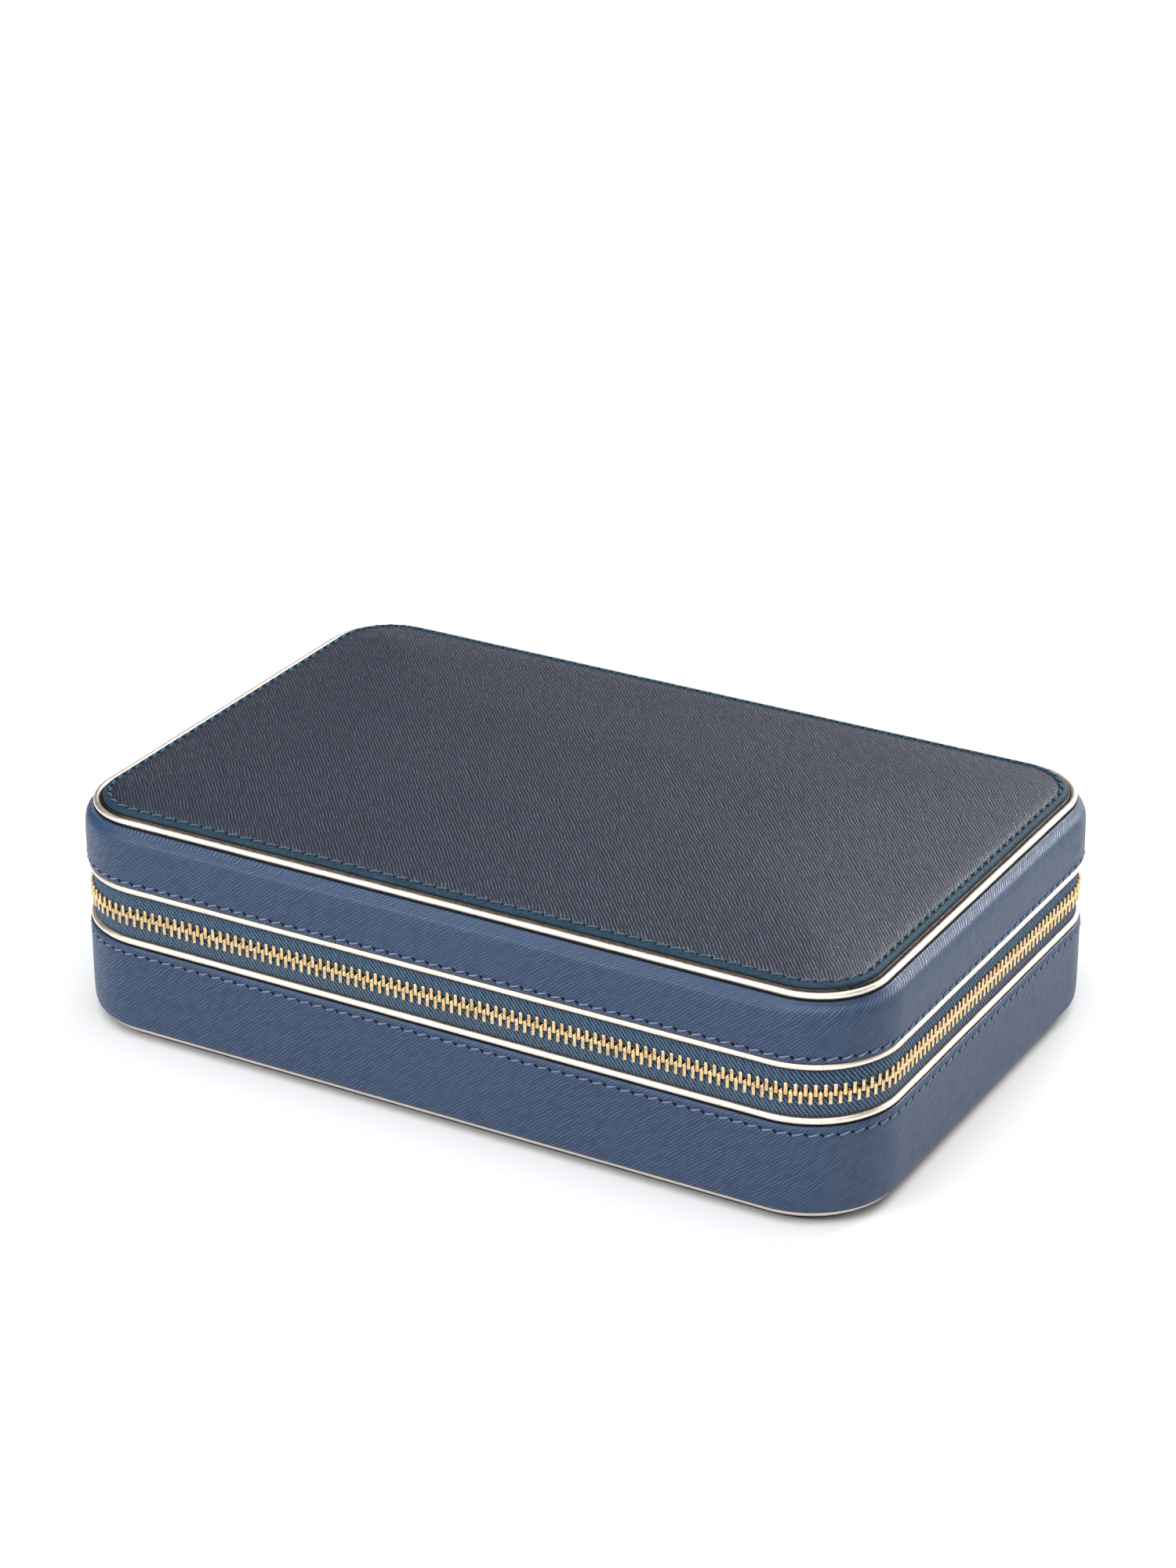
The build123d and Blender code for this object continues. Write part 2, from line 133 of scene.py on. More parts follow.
def stations(runs, offset=0.0, corner=CORNER, half=HALF):
    """Stations at distances along the outline at an offset. They run anticlockwise, seen from above,
    from the middle of the rear: round the left side, the front and the right side."""
    x, y = straights(corner, half)
    arc = (corner + offset) * pi / 2
    ends = np.cumsum([0, x, arc, 2 * y, arc, 2 * x, arc, 2 * y, arc, x])
    turn = np.radians(np.interp(runs, ends, [90, 90, 180, 180, 270, 270, 360, 360, 450, 450]))
    return SimpleNamespace(
        run=np.asarray(runs, float),
        x=np.interp(runs, ends, [0, -1, -1, -1, -1, 1, 1, 1, 1, 0]),
        y=np.interp(runs, ends, [1, 1, 1, -1, -1, -1, -1, 1, 1, 1]),
        out=np.stack([np.cos(turn), np.sin(turn), 0 * turn], axis=1),
        length=perimeter(offset, corner, half),
        half=half,
    )


def ring(at, offset, z, corner=CORNER, bulge=0.0, lift=0.0):
    """Points at the stations. bulge moves them outward and lift moves them up."""
    x, y = straights(corner, at.half)
    reach = corner + offset + bulge
    return np.stack([
        x * at.x + reach * at.out[:, 0],
        y * at.y + reach * at.out[:, 1],
        z + lift + 0 * at.x,
    ], axis=1)


def even_stations(offset=0.0, corner=CORNER, half=HALF, step=1.2):
    length = perimeter(offset, corner, half)
    count = round(length / step)
    return stations(np.arange(count) * length / count, offset, corner, half)


def stitched_stations(offset, corner=CORNER):
    """Stations at set shares of each stitch, round an outline that holds a whole number of stitches."""
    length = perimeter(offset, corner)
    count = round(length / STITCH_PITCH)
    stitches = np.arange(count)[:, None] + np.array(STITCH_SHARES)
    at = stations(stitches.ravel() * length / count, offset, corner)
    at.hole = np.tile([1.0, 0.35, 0.0, 0.35], count)
    at.stitches = count
    return at


def soften(points, rounds=2):
    """Line through (offset, height, corner) points with its corners cut, so that it runs as a curve."""
    line = np.array([p if len(p) == 3 else (*p, CORNER) for p in points], float)
    for _ in range(rounds):
        near, far = line[:-1] * 0.75 + line[1:] * 0.25, line[:-1] * 0.25 + line[1:] * 0.75
        cut = np.stack([near, far], axis=1).reshape(-1, 3)
        line = np.concatenate([line[:1], cut[1:-1], line[-1:]])
    return line


def rows_along(line, step, fine_centre=None, fine_reach=1.3, fine_step=0.24):
    """The line again with rows at an even step, and closer rows about the stitches."""
    legs = np.hypot(*(line[1:, :2] - line[:-1, :2]).T)
    lengths = np.concatenate([[0], np.cumsum(legs)])
    count = max(2, round(lengths[-1] / step))
    marks = np.linspace(0, lengths[-1], count + 1)
    if fine_centre is not None:
        centre = lengths[np.argmin(np.hypot(*(line[:, :2] - np.array(fine_centre)).T))]
        marks = marks[abs(marks - centre) > fine_reach]
        marks = np.sort(np.append(marks, centre + np.arange(-fine_reach, fine_reach + 0.01, fine_step)))
        marks = np.clip(marks, 0, lengths[-1])
    return np.stack([np.interp(marks, lengths, line[:, k]) for k in range(3)], axis=1)


def loft(name, rings, at, material, wrap=True, loop=True):
    """Skin through rings of points. wrap joins the two ends of each ring, and loop joins the last ring
    to the first. What stays open is capped, so that the mesh is closed."""
    rings = np.asarray(rings, float)
    count, width = rings.shape[:2]
    i, j = np.meshgrid(
        np.arange(count if loop else count - 1), np.arange(width if wrap else width - 1), indexing="ij")
    i2, j2 = (i + 1) % count, (j + 1) % width
    quads = np.stack([i * width + j, i * width + j2, i2 * width + j2, i2 * width + j], axis=-1)
    run = np.append(at.run, at.length)
    steps = np.linalg.norm(np.roll(rings, -1, axis=0)[:, 0] - rings[:, 0], axis=1)
    across = np.concatenate([[0], np.cumsum(steps)])
    corners = [run[j], across[i], run[j + 1], across[i], run[j + 1], across[i + 1], run[j], across[i + 1]]
    uv = np.stack(corners, axis=-1).reshape(-1, 2)
    faces = quads.reshape(-1, 4).tolist()
    points = rings.reshape(-1, 3)
    caps = []
    if not wrap:
        first = np.arange(count) * width
        caps += [first, (first + width - 1)[::-1]]
    if not loop:
        caps += [np.arange(width)[::-1], np.arange(width) + (count - 1) * width]
    for cap in caps:
        faces.append(cap.tolist())
        flat = points[cap][:, :2] if not loop else points[cap][:, 1:]
        uv = np.concatenate([uv, flat])
    return add_mesh(name, points, faces, material, uv)


def circle(offset, z, radius, sides=16):
    turns = np.arange(sides) * 2 * pi / sides
    return [(offset + radius * cos(t), z + radius * sin(t)) for t in turns]


def bevelled_box(low, high, bevel):
    """Points and faces of a box with its edges cut."""
    made = bmesh.new()
    bmesh.ops.create_cube(made, size=1.0)
    low, high = np.array(low), np.array(high)
    for vertex in made.verts:
        vertex.co = Vector((low + high) / 2 + np.array(vertex.co) * (high - low))
    bmesh.ops.bevel(made, geom=made.edges[:], offset=bevel, segments=1, profile=0.5, affect="EDGES")
    made.verts.index_update()
    points = np.array([v.co for v in made.verts])
    faces = [[v.index for v in f.verts] for f in made.faces]
    made.free()
    return points, faces


def joined(*parts):
    """Several sets of points and faces as one."""
    points, faces = [], []
    for some_points, some_faces in parts:
        start = sum(len(p) for p in points)
        points.append(some_points)
        faces += [[v + start for v in face] for face in some_faces]
    return np.concatenate(points), faces


def scatter(name, shape, at, offset, z, corner, material, turned=False):
    """Copies of a shape, given along, outward and up, at each station. turned stands them on their
    heads."""
    points, faces = shape
    centres = ring(at, offset, z, corner)
    along = np.stack([-at.out[:, 1], at.out[:, 0], 0 * at.run], axis=1)
    sign = -1.0 if turned else 1.0
    placed = (
        centres[:, None]
        + sign * points[None, :, :1] * along[:, None]
        + points[None, :, 1:2] * at.out[:, None]
        + sign * points[None, :, 2:] * np.array([0, 0, 1.0])
    )
    copies = [[v + k * len(points) for v in face] for k in range(len(centres)) for face in faces]
    return add_mesh(name, placed.reshape(-1, 3), copies, material, smooth=False)


def finished(piece):
    """Applies a piece's modifiers to its mesh."""
    graph = bpy.context.evaluated_depsgraph_get()
    piece.data = bpy.data.meshes.new_from_object(piece.evaluated_get(graph))
    piece.modifiers.clear()
    piece.data.polygons.foreach_set("use_smooth", [True] * len(piece.data.polygons))
    return piece


def rest(piece, body, slot, *nodes):
    """A finished piece's body and the CAD nodes that it stands for. slot is not used."""
    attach(piece, body)
    if nodes:
        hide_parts(*nodes)
    return piece


# ---------------------------------------------------------------- materials

class Shade:
    """A material's node tree, with short ways to add to it."""

    def __init__(self, name, roughness=0.5, metallic=0.0):
        self.material = bpy.data.materials.new(name)
        self.material.use_nodes = True
        self.tree = self.material.node_tree
        self.shader = self.tree.nodes["Principled BSDF"]
        self.shader.inputs["Roughness"].default_value = roughness
        self.shader.inputs["Metallic"].default_value = metallic

    def put(self, socket, value):
        if isinstance(value, bpy.types.NodeSocket):
            self.tree.links.new(value, socket)
        else:
            socket.default_value = value

    def add(self, kind, inputs=None, **settings):
        made = self.tree.nodes.new("ShaderNode" + kind)
        for key, value in settings.items():
            setattr(made, key, value)
        for key, value in (inputs or {}).items():
            self.put(made.inputs[key], value)
        return made

    def grain(self):
        """The piece's own coordinates in millimetres: along it and across it."""
        return self.add("UVMap", uv_map="grain").outputs["UV"]

    def place(self):
        """Coordinates in the row frame, in millimetres."""
        coordinates = self.add("TexCoord").outputs["Object"]
        return self.add("VectorMath", {0: coordinates, 3: 1 / MM}, operation="SCALE").outputs[0]

    def maths(self, operation, *values):
        return self.add("Math", dict(enumerate(values)), operation=operation).outputs[0]

    def turned(self, vector, angle=0.0, scale=(1, 1, 1)):
        inputs = {"Vector": vector, "Rotation": (0, 0, radians(angle)), "Scale": scale}
        return self.add("Mapping", inputs).outputs[0]

    def noise(self, vector, scale, detail=2.0, roughness=0.5):
        inputs = {"Vector": vector, "Scale": scale, "Detail": detail, "Roughness": roughness}
        return self.add("TexNoise", inputs).outputs[0]

    def waves(self, vector, pitch, distortion=0.0, detail_scale=0.3):
        """Ridges across the first coordinate, one for each pitch."""
        inputs = {"Vector": vector, "Scale": 2 * pi / 20 / pitch, "Distortion": distortion,
                  "Detail": 1.0, "Detail Scale": detail_scale}
        return self.add("TexWave", inputs).outputs[1]

    def between(self, value, low, high, to_low=0.0, to_high=1.0):
        """The value from low to high, spread over to_low to to_high."""
        inputs = {0: value, 1: low, 2: high, 3: to_low, 4: to_high}
        return self.add("MapRange", inputs, interpolation_type="SMOOTHSTEP").outputs[0]

    def mix(self, share, first, second):
        made = self.add("Mix", data_type="RGBA")
        for socket, value in ((0, share), (6, first), (7, second)):
            if not isinstance(value, (float, bpy.types.NodeSocket)):
                value = (*value, 1.0)
            self.put(made.inputs[socket], value)
        return made.outputs[2]

    def bump(self, height, depth, strength=1.0):
        """Relief of a depth in millimetres."""
        inputs = {"Height": height, "Distance": depth * MM, "Strength": strength}
        made = self.add("Bump", inputs)
        self.put(self.shader.inputs["Normal"], made.outputs[0])

    def finish(self, colour, roughness=None, **constants):
        self.put(self.shader.inputs["Base Color"], colour)
        if roughness is not None:
            self.put(self.shader.inputs["Roughness"], roughness)
        for name, value in constants.items():
            self.shader.inputs[name.replace("_", " ").title().replace("Ior", "IOR")].default_value = value
        return self.material


def pressed_leather(name, colour, ridge, shaded_hollow, turn, pitch, depth, sheen):
    """Cross-grain leather: wavy diagonal ridges between thin grooves, with weaker ones across them."""
    shade = Shade(name)
    base = shade.grain()
    strong = shade.turned(base, turn)
    weak = shade.turned(base, turn + 80)
    main = shade.waves(strong, pitch, distortion=3.6, detail_scale=0.55)
    cross = shade.waves(weak, pitch * 0.85, distortion=3.0, detail_scale=0.6)
    ridges = shade.between(main, 0.10, 0.85)
    dashes = shade.between(shade.noise(shade.turned(strong, 0, (1.0, 0.20, 1)), 1.0), 0.38, 0.60)
    broken = shade.maths("MULTIPLY", ridges, shade.between(dashes, 0.0, 1.0, 0.50, 1.0))
    height = shade.maths("MULTIPLY_ADD", cross, 0.28, broken)
    pores = shade.noise(base, 3.0, 3.0, 0.6)
    height = shade.maths("MULTIPLY_ADD", pores, 0.20, height)
    patches = shade.between(shade.noise(base, 0.030, 3.0), 0.3, 0.7, 0.0, 0.30)
    # Painted shade: the grain's grooves take the darker hollow colour, the ridges the lighter one.
    tone = shade.mix(shade.between(height, 0.20, 1.25), shaded_hollow, ridge)
    tone = shade.mix(patches, tone, colour)
    roughness = shade.between(height, 0.2, 1.2, 0.58, sheen)
    shade.bump(height, depth)
    return shade.finish(tone, roughness, coat_weight=0.05, coat_roughness=0.35)


def smooth_leather(name, colour, edge):
    """Plain fine-grained leather, for turned edges."""
    shade = Shade(name)
    base = shade.place()
    cells = shade.add("TexVoronoi", {"Vector": base, "Scale": 1.5}).outputs[0]
    fine = shade.noise(base, 2.5, 4.0, 0.6)
    height = shade.maths("MULTIPLY_ADD", cells, 0.7, fine)
    worn = shade.mix(shade.between(shade.noise(base, 0.12), 0.3, 0.7), colour, edge)
    # Painted shade: the pores and hollows darken to 0.45 of the colour.
    shaded_hollow = tuple(0.45 * value for value in colour)
    tone = shade.mix(shade.between(height, 0.45, 0.95), shaded_hollow, worn)
    shade.bump(height, 0.10)
    return shade.finish(tone, shade.between(height, 0.3, 1.1, 0.72, 0.54), specular_ior_level=0.25)


def foil_leather(name, bright, dull):
    """Pale gold foil on thin leather, with fine creases across the cord."""
    shade = Shade(name, metallic=0.9)
    base = shade.grain()
    creases = shade.noise(shade.turned(base, 0, (1.3, 0.4, 1)), 1.0, 3.0, 0.6)
    rubbed = shade.noise(base, 0.16, 3.0, 0.6)
    colour = shade.mix(shade.between(creases, 0.25, 0.45), dull, bright)
    colour = shade.mix(shade.between(rubbed, 0.62, 0.76, 0.0, 0.40), colour, (0.62, 0.50, 0.36))
    shade.bump(creases, 0.015)
    return shade.finish(colour, shade.between(rubbed, 0.3, 0.7, 0.30, 0.42))


def woven_tape(name):
    """Twill diagonals, crossed by single threads, with painted shade in the seams by the pipings."""
    shade = Shade(name, roughness=0.8)
    parts = shade.add("SeparateXYZ", {0: shade.grain()})
    along, across = parts.outputs[0], parts.outputs[1]
    diagonal = shade.maths("MULTIPLY_ADD", across, 0.8, along)
    twill = shade.maths("SINE", shade.maths("MULTIPLY", diagonal, 2 * pi / 1.3))
    warp = shade.maths("SINE", shade.maths("MULTIPLY", along, 2 * pi / 0.86))
    weft = shade.maths("SINE", shade.maths("MULTIPLY", across, 2 * pi / 0.80))
    dots = shade.maths("MULTIPLY", warp, weft)
    weave = shade.maths("MULTIPLY_ADD", dots, 0.8, shade.maths("MULTIPLY", twill, 0.75))
    fuzz = shade.noise(shade.grain(), 3.0, 2.0)
    weave = shade.maths("MULTIPLY_ADD", shade.maths("SUBTRACT", fuzz, 0.5), 1.6, weave)
    low, high = (0.002, 0.009, 0.026), (0.100, 0.235, 0.400)
    colour = shade.mix(shade.between(weave, -0.4, 1.2), low, high)
    # Painted shade: within 1 to 2 mm of each rim piping the tape is mixed to near-black, where the pipings
    # shade it.
    height = shade.add("SeparateXYZ", {0: shade.place()}).outputs[2]
    from_base = shade.maths("ABSOLUTE", shade.maths("SUBTRACT", height, BASE_RIM_Z))
    from_lid = shade.maths("ABSOLUTE", shade.maths("SUBTRACT", height, LID_RIM_Z))
    lit_away_from_seam = shade.between(shade.maths("MINIMUM", from_base, from_lid), 1.0, 2.0)
    colour = shade.mix(lit_away_from_seam, (0.002, 0.004, 0.009), colour)
    shade.bump(weave, 0.16)
    return shade.finish(colour, sheen_weight=0.1, sheen_roughness=0.4)


def metal(name, colour, dull, roughness=0.25, patch=0.9):
    """Plated metal with fine scratches and duller patches."""
    shade = Shade(name, metallic=1.0)
    base = shade.place()
    patches = shade.noise(base, patch, 3.0, 0.6)
    scratches = shade.noise(shade.turned(base, 20, (6.0, 0.6, 2.0)), 1.0, 3.0, 0.6)
    colour = shade.mix(shade.between(patches, 0.35, 0.7), colour, dull)
    shade.bump(scratches, 0.012)
    return shade.finish(colour, shade.between(scratches, 0.3, 0.7, roughness, roughness + 0.14))


def suede(name, colour, shadow):
    """Short nap, brushed lighter and darker in patches."""
    shade = Shade(name, roughness=0.92)
    base = shade.place()
    nap = shade.noise(base, 3.5, 4.0, 0.7)
    brushed = shade.noise(shade.turned(base, 30, (0.05, 0.12, 0.08)), 1.0, 2.0)
    tone = shade.maths("MULTIPLY_ADD", nap, 0.5, brushed)
    colour = shade.mix(shade.between(tone, 0.5, 1.0), shadow, colour)
    shade.bump(nap, 0.10)
    return shade.finish(colour, sheen_weight=0.35, sheen_roughness=0.5)


def thread(name, colour, dark):
    """Twisted sewing thread."""
    shade = Shade(name, roughness=0.6)
    base = shade.place()
    twist = shade.waves(shade.turned(base, 40), 0.35, 0.5)
    shade.bump(twist, 0.05)
    # Painted shade: the grooves of the twist are mixed towards the dark colour.
    return shade.finish(shade.mix(shade.between(twist, 0.1, 0.9), dark, colour), sheen_weight=0.1)


def near_black_shade(name):
    """Near-black painted shade, for the needle holes and for the painted shadows in the seams."""
    shade = Shade(name, roughness=0.8)
    fuzz = shade.noise(shade.place(), 6.0, 2.0)
    colour = shade.mix(fuzz, (0.001, 0.002, 0.005), (0.004, 0.006, 0.013))
    return shade.finish(colour, specular_ior_level=0.15)


def pressed_board(name, colour, dark):
    """Grey board with pressed fibres."""
    shade = Shade(name, roughness=0.9)
    base = shade.place()
    fibres = shade.noise(shade.turned(base, 15, (0.8, 0.25, 0.8)), 1.0, 4.0, 0.7)
    shade.bump(fibres, 0.08)
    return shade.finish(shade.mix(fibres, dark, colour))


def foam(name):
    """Open-cell foam."""
    shade = Shade(name, roughness=0.95)
    cells = shade.add("TexVoronoi", {"Vector": shade.place(), "Scale": 1.1}).outputs[0]
    shade.bump(cells, 0.3)
    # Painted shade: the pits of the cells are darker than their rims.
    return shade.finish(shade.mix(shade.between(cells, 0.1, 0.7), (0.42, 0.40, 0.34), (0.78, 0.75, 0.66)))


def silvered_glass(name):
    shade = Shade(name, metallic=1.0)
    smears = shade.noise(shade.place(), 0.03, 3.0, 0.6)
    colour = shade.mix(smears, (0.86, 0.88, 0.89), (0.93, 0.94, 0.95))
    return shade.finish(colour, shade.between(smears, 0.4, 0.8, 0.02, 0.05))


def paper_floor(name):
    shade = Shade(name, roughness=0.75)
    fibres = shade.noise(shade.place(), 0.5, 4.0, 0.6)
    shade.bump(fibres, 0.02)
    return shade.finish(shade.mix(fibres, (0.69, 0.69, 0.69), (0.72, 0.72, 0.72)))


SIDE_LEATHER = pressed_leather(
    "side_leather", (0.017, 0.047, 0.109), (0.026, 0.065, 0.143), (0.004, 0.017, 0.050), turn=50,
    pitch=0.84, depth=0.07, sheen=0.34)
TOP_LEATHER = pressed_leather(
    "top_leather", (0.006, 0.010, 0.025), (0.026, 0.034, 0.070), (0.0005, 0.001, 0.004), turn=-42,
    pitch=0.90, depth=0.16, sheen=0.26)
TRIM_LEATHER = smooth_leather("trim_leather", (0.005, 0.026, 0.049), (0.010, 0.039, 0.067))
PIPING = foil_leather("piping_foil", (0.90, 0.80, 0.68), (0.60, 0.48, 0.35))
# A darker copy of the piping foil: painted shade on the bottom piping by the floor.
SHADED_FOOT_PIPING = foil_leather("foot_piping_painted_shade_foil", (0.66, 0.58, 0.48), (0.40, 0.33, 0.26))
TAPE = woven_tape("zip_tape_twill")
BRASS = metal("zip_brass", (0.87, 0.67, 0.40), (0.60, 0.41, 0.20))
PULL_BRASS = metal("pull_brass", (0.88, 0.70, 0.44), (0.76, 0.57, 0.33), 0.22, patch=0.12)
SUEDE = suede("suede", (0.56, 0.52, 0.48), (0.43, 0.40, 0.37))
SIDE_THREAD = thread("side_thread", (0.17, 0.22, 0.36), (0.08, 0.11, 0.20))
TOP_THREAD = thread("top_thread", (0.05, 0.12, 0.17), (0.02, 0.05, 0.08))
# Near-black painted shade for the needle holes, and painted shadow for the strips beside the pipings
NEEDLE_HOLE_SHADE = near_black_shade("needle_hole_painted_shade")
SEAM_SHADOW = near_black_shade("seam_painted_shadow")
CUT_EDGE = metal("cut_edge_paint", (0.060, 0.048, 0.040), (0.030, 0.024, 0.022), 0.40)
BOARD = pressed_board("grey_board", (0.30, 0.29, 0.27), (0.16, 0.155, 0.145))
FOAM = foam("foam")
MIRROR = silvered_glass("mirror")
FLOOR = paper_floor("floor")


# ---------------------------------------------------------------- leather skins

def skin(name, outer, inner, stitch, at, material):
    """Leather band: its outer and inner lines make one closed section, dented along its stitches."""
    fine = rows_along(soften(outer), 0.9, fine_centre=stitch)
    back = rows_along(soften(inner, 1), 3.0)
    rings = []
    for offset, z, corner in fine:
        away = np.hypot(offset - stitch[0], z - stitch[1])
        groove = -0.10 * np.exp(-(away / 0.6) ** 2)
        holes = -0.45 * np.exp(-(away / 0.32) ** 2) * at.hole
        puff = 0.07 * np.exp(-((away - 1.2) / 0.5) ** 2)
        rings.append(ring(at, offset, z, corner, bulge=groove + holes + puff))
    rings += [ring(at, offset, z, corner) for offset, z, corner in back]
    return loft(name, rings, at, material)


def make_base_band():
    outer = [(-0.7, 3.05), (-0.1, 3.2), (0.75, 4.1), (1.2, 6.2), (1.25, 16.0), (1.2, 26.5), (1.2, 28.6),
             (0.9, 29.3), (0.2, 29.35)]
    inner = [(-0.5, 29.3), (0.2, 28.4), (0.2, 6.9), (-0.3, 5.2), (-0.95, 3.9), (-0.95, 3.1)]
    at = stitched_stations(1.2)
    band = skin("base_band_leather", outer, inner, (1.2, BASE_STITCH_Z), at, SIDE_LEATHER)
    rest(band, "base", "leather_side", "base_band")


def make_lid_band():
    outer = [(0.1, 47.5), (0.7, 47.65), (1.25, 48.5), (1.3, 50.0), (1.35, 55.0), (1.3, 59.0),
             (1.15, 60.6), (0.95, 61.5), (0.75, 62.05), (0.35, 62.5), (-0.1, 62.78), (-0.9, 63.2),
             (-2.2, 64.35, TOP_CORNER)]
    inner = [(-3.1, 64.5, TOP_CORNER), (-3.2, 64.0, TOP_CORNER), (-0.1, 60.7), (0.3, 59.4), (0.3, 49.2),
             (-0.5, 47.6)]
    at = stitched_stations(1.2)
    band = skin("lid_band_leather", outer, inner, (1.3, LID_STITCH_Z), at, SIDE_LEATHER)
    rest(band, "lid", "leather_side", "lid_band")


def make_piping(node, body, corner, material=PIPING):
    low, high = box(node)
    radius = (high.z - low.z) / 2
    offset = high.x - radius - HALF.x
    at = even_stations(offset, corner)
    share = at.run / at.length * 2 * pi
    wobble = 0.02 * np.sin(19 * share) + 0.015 * np.sin(43 * share + 1.0)
    rings = [
        ring(at, n, z, corner, bulge=wobble * (n - offset) / radius, lift=wobble * (z - low.z - radius))
        for n, z in circle(offset, low.z + radius, radius)
    ]
    rest(loft(node + "_cord", rings, at, material), body, "piping", node)


def make_seam(name, body, line, corner=CORNER, material=SEAM_SHADOW):
    """Strip in the gap beside a piping. With the default material it is near-black, a painted shadow."""
    at = even_stations(line[0][0], corner, step=2.0)
    lower = [(n - 0.15, z - 0.25) for n, z in line[::-1]]
    rings = [ring(at, n, z, corner) for n, z in line + lower]
    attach(loft(name, rings, at, material), body)


def make_base_panel():
    """Leather-covered board under the base."""
    line = soften([(-12.0, 0.05), (-4.2, 0.0), (-3.0, 0.1), (-2.9, 1.5), (-3.4, 1.7), (-4.2, 2.8)], 2)
    at = even_stations(-2.9, step=3.0)
    rings = [ring(at, offset, z, corner) for offset, z, corner in line]
    panel = loft("base_panel_leather", rings, at, TRIM_LEATHER, loop=False)
    rest(panel, "base", "leather_trim", "base_panel")


# ---------------------------------------------------------------- padded top

def rounded_grid(half, corner, insets, step):
    """Even grid over a rounded rectangle, with closer lines by its edge. Returns x and y."""

    def lines(extent):
        inner = extent - insets[-1]
        spread = np.linspace(-inner, inner, 2 * round(inner / step) + 1)
        edge = extent - np.array(insets[:-1])
        return np.concatenate([-edge, spread, edge[::-1]])

    x, y = np.meshgrid(lines(half.x), lines(half.y), indexing="ij")
    p = np.clip((abs(x) - half.x + corner) / corner, 0, 1)
    q = np.clip((abs(y) - half.y + corner) / corner, 0, 1)
    moved_x = np.where(p > 0, half.x - corner + corner * p * np.sqrt(1 - q * q / 2), abs(x))
    moved_y = np.where(q > 0, half.y - corner + corner * q * np.sqrt(1 - p * p / 2), abs(y))
    return np.sign(x) * moved_x, np.sign(y) * moved_y


def inset_of(x, y, half, corner):
    """Distance inside the outline of a rounded rectangle."""
    px, py = abs(x) - half.x + corner, abs(y) - half.y + corner
    outside = np.hypot(np.maximum(px, 0), np.maximum(py, 0))
    return np.maximum(corner - outside - np.minimum(np.maximum(px, py), 0), 0)


def padded_sheet(name, x, y, z, material):
    """Surface over a grid. Its depth is added once it has swelled."""
    count_x, count_y = x.shape
    points = np.stack([x, y, z], axis=-1).reshape(-1, 3)
    i, j = np.meshgrid(np.arange(count_x - 1), np.arange(count_y - 1), indexing="ij")
    first = i * count_y + j
    faces = np.stack([first, first + count_y, first + count_y + 1, first + 1], axis=-1).reshape(-1, 4)
    return add_mesh(name, points, faces.tolist(), material, uv=points[faces.ravel()][:, :2])


def swell(piece, held, pressure, cap, frames=16):
    """Swells a padded piece by cloth simulation. Held points stay, and none moves further than cap."""
    scene = bpy.context.scene
    still = piece.vertex_groups.new(name="held")
    still.add(np.flatnonzero(held).tolist(), 1.0, "REPLACE")
    cloth = piece.modifiers.new("cloth", "CLOTH")
    cloth.settings.quality = 6
    cloth.settings.mass = 0.4
    cloth.settings.tension_stiffness = 20
    cloth.settings.compression_stiffness = 20
    cloth.settings.bending_stiffness = 2
    cloth.settings.use_pressure = True
    cloth.settings.uniform_pressure_force = pressure
    cloth.settings.effector_weights.gravity = 0
    cloth.settings.vertex_group_mass = "held"
    cloth.point_cache.frame_end = frames
    before = np.array([v.co for v in piece.data.vertices])
    for moment in range(1, frames + 1):
        scene.frame_set(moment)
    graph = bpy.context.evaluated_depsgraph_get()
    after = np.array([v.co for v in piece.evaluated_get(graph).data.vertices])
    piece.modifiers.remove(cloth)
    piece.vertex_groups.remove(still)
    moves = after - before
    size = np.linalg.norm(moves, axis=1, keepdims=True)
    moves *= np.minimum(1.0, cap * MM / np.maximum(size, 1e-9))
    piece.data.vertices.foreach_set("co", (before + moves).ravel())
    piece.data.update()
    scene.frame_set(1)
    print(piece.name, "swelled by up to", round(float(size.max()) / MM, 2), "mm")


def make_panel_rim():
    """Rounded leather border of the padded top. It rises inward to the stitches at its inner edge."""
    at = stitched_stations(TOP_STITCH_OFFSET, TOP_CORNER)
    edge, top = PANEL_EDGE_Z, PANEL_RIM_Z
    section = [(-5.2, edge - 1.7), (-5.0, edge - 0.5), (-4.8, edge), (-5.1, edge + 0.5), (-6.0, top - 0.15),
               (-6.8, top), (-7.4, top - 0.2), (-7.6, top - 0.7), (-7.6, edge - 1.7)]
    line = soften([(n, z, TOP_CORNER) for n, z in section])
    fine = rows_along(line, 0.5, fine_centre=(TOP_STITCH_OFFSET, top), fine_reach=0.9)
    rings = []
    for offset, z, corner in fine:
        away = offset - TOP_STITCH_OFFSET
        flat = np.clip((z - edge + 0.5) / 0.4, 0, 1)
        holes = -0.50 * np.exp(-(away / 0.5) ** 2) * at.hole
        groove = -0.12 * np.exp(-(away / 0.6) ** 2)
        rings.append(ring(at, offset, z, corner, lift=flat * (holes + groove)))
    rest(loft("top_panel_rim", rings, at, TRIM_LEATHER), "lid", "leather_trim")


